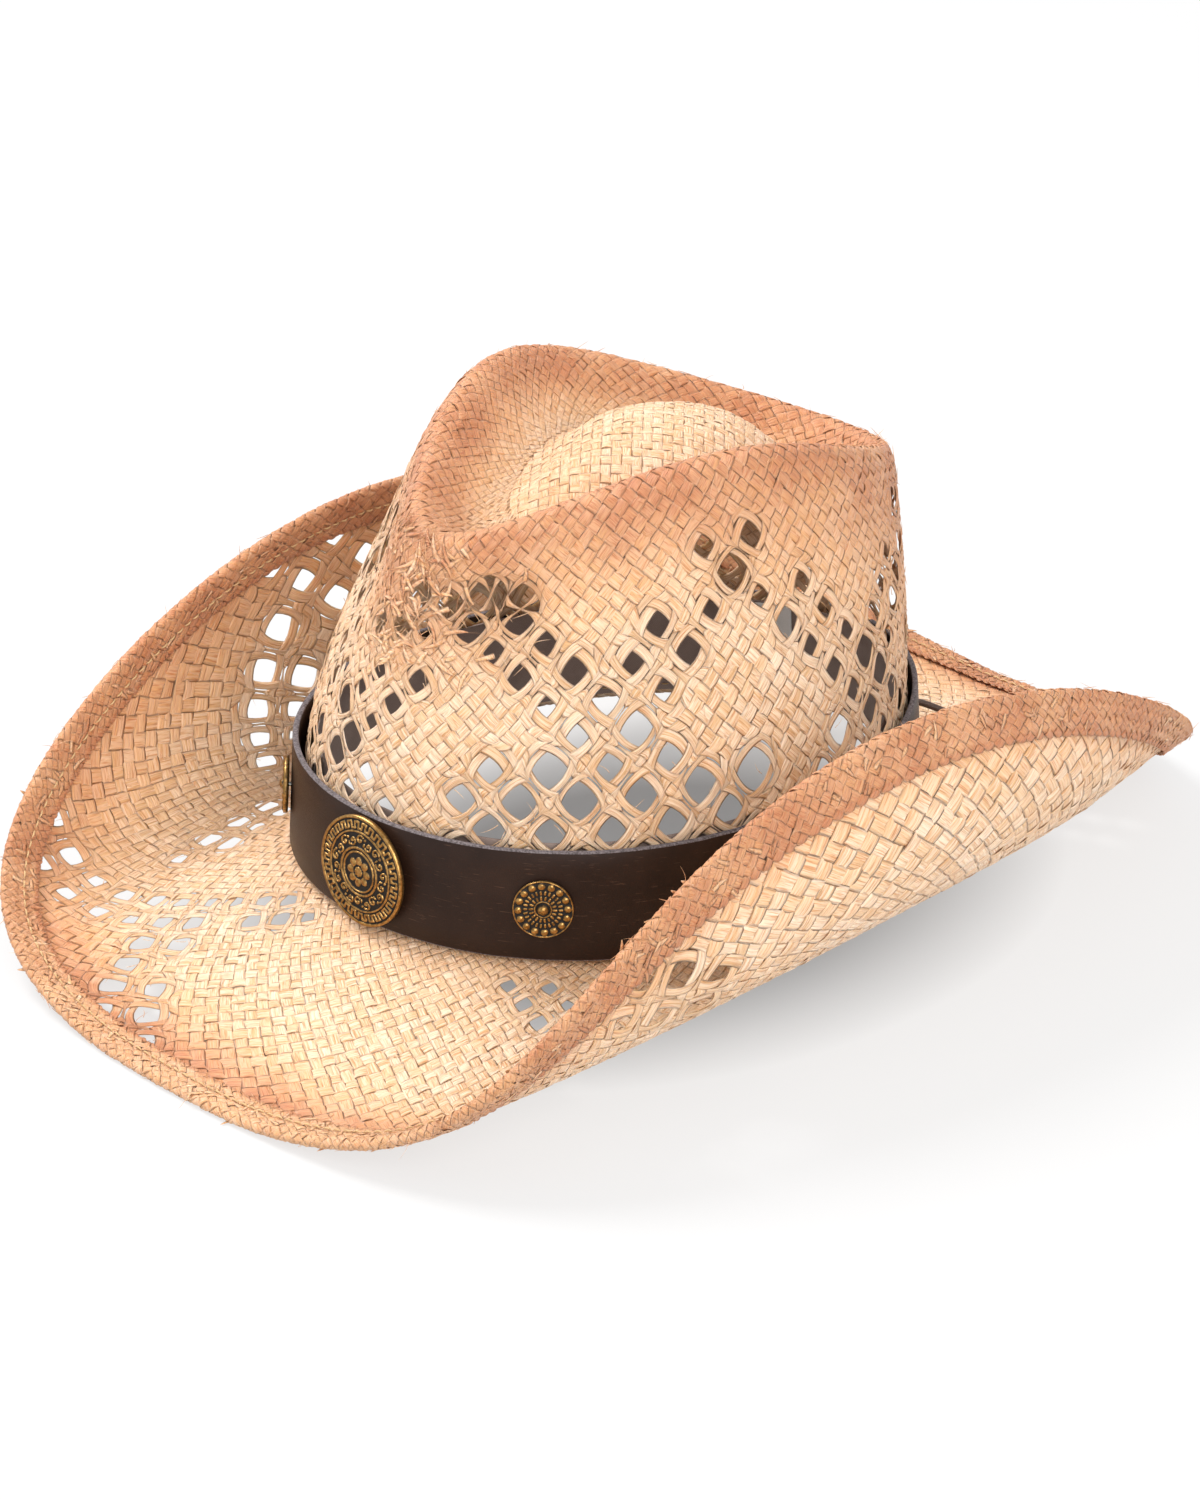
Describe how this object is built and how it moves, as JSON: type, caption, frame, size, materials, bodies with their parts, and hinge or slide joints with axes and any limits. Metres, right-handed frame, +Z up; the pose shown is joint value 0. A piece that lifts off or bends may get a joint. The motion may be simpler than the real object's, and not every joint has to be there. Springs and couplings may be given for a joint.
{
  "type": "cowboy hat",
  "caption": "Woven straw cowboy hat with a pinched crown, curled brim, studded leather hatband, brass front concho and laced back.",
  "frame": {"origin": "on the table under the middle of the hat, at the centre of the bottom of its box", "axes": "+Y towards the back of the hat, +X towards the wearer's left, +Z up"},
  "size_m": [0.2554, 0.3782, 0.1614],
  "materials": {
    "straw": "woven natural raffia, cream, brown spray on the ridges",
    "straw_hem": "folded raffia hem, brown spray",
    "steel": "plain wire",
    "thread": "matte thread",
    "sweatband_tape": "taupe woven tape",
    "label": "blank white woven label",
    "leather": "dark brown, satin, raw edges",
    "antique_brass": "antique, black in the recesses",
    "lace": "waxed dark brown cord"
  },
  "bodies": {
    "hat": {"straw_crown": "straw", "straw_brim": "straw", "brim_hem": "straw_hem", "brim_wire": "steel", "brim_wire_sleeve": "steel", "hem_stitching": "thread", "sweatband": "sweatband_tape", "sweatband_stitching": "thread", "size_label": "label"},
    "hatband": {"leather_band": "leather", "concho_screw": "steel", "side_stud_1": "antique_brass", "stud_rivet_1": "antique_brass", "side_stud_2": "antique_brass", "stud_rivet_2": "antique_brass", "side_stud_3": "antique_brass", "stud_rivet_3": "antique_brass", "side_stud_4": "antique_brass", "stud_rivet_4": "antique_brass", "lace_bridge_1": "lace", "lace_bridge_2": "lace", "lace_knot": "lace", "lace_tail_left": "lace", "tail_knot_left": "lace", "lace_tail_right": "lace", "tail_knot_right": "lace"},
    "concho": {"front_concho": "antique_brass"}
  },
  "joints": [
    {"name": "hatband_lift", "type": "slide", "parent": "hat", "child": "hatband", "axis": [0, 0, 1], "range_m": [0, 0.14]},
    {"name": "concho_turn", "type": "hinge", "parent": "hatband", "child": "concho", "pos_m": [0.00253, -0.11156, 0.0447], "axis": [0.0317, -0.9979, 0.0558], "continuous": true}
  ]
}
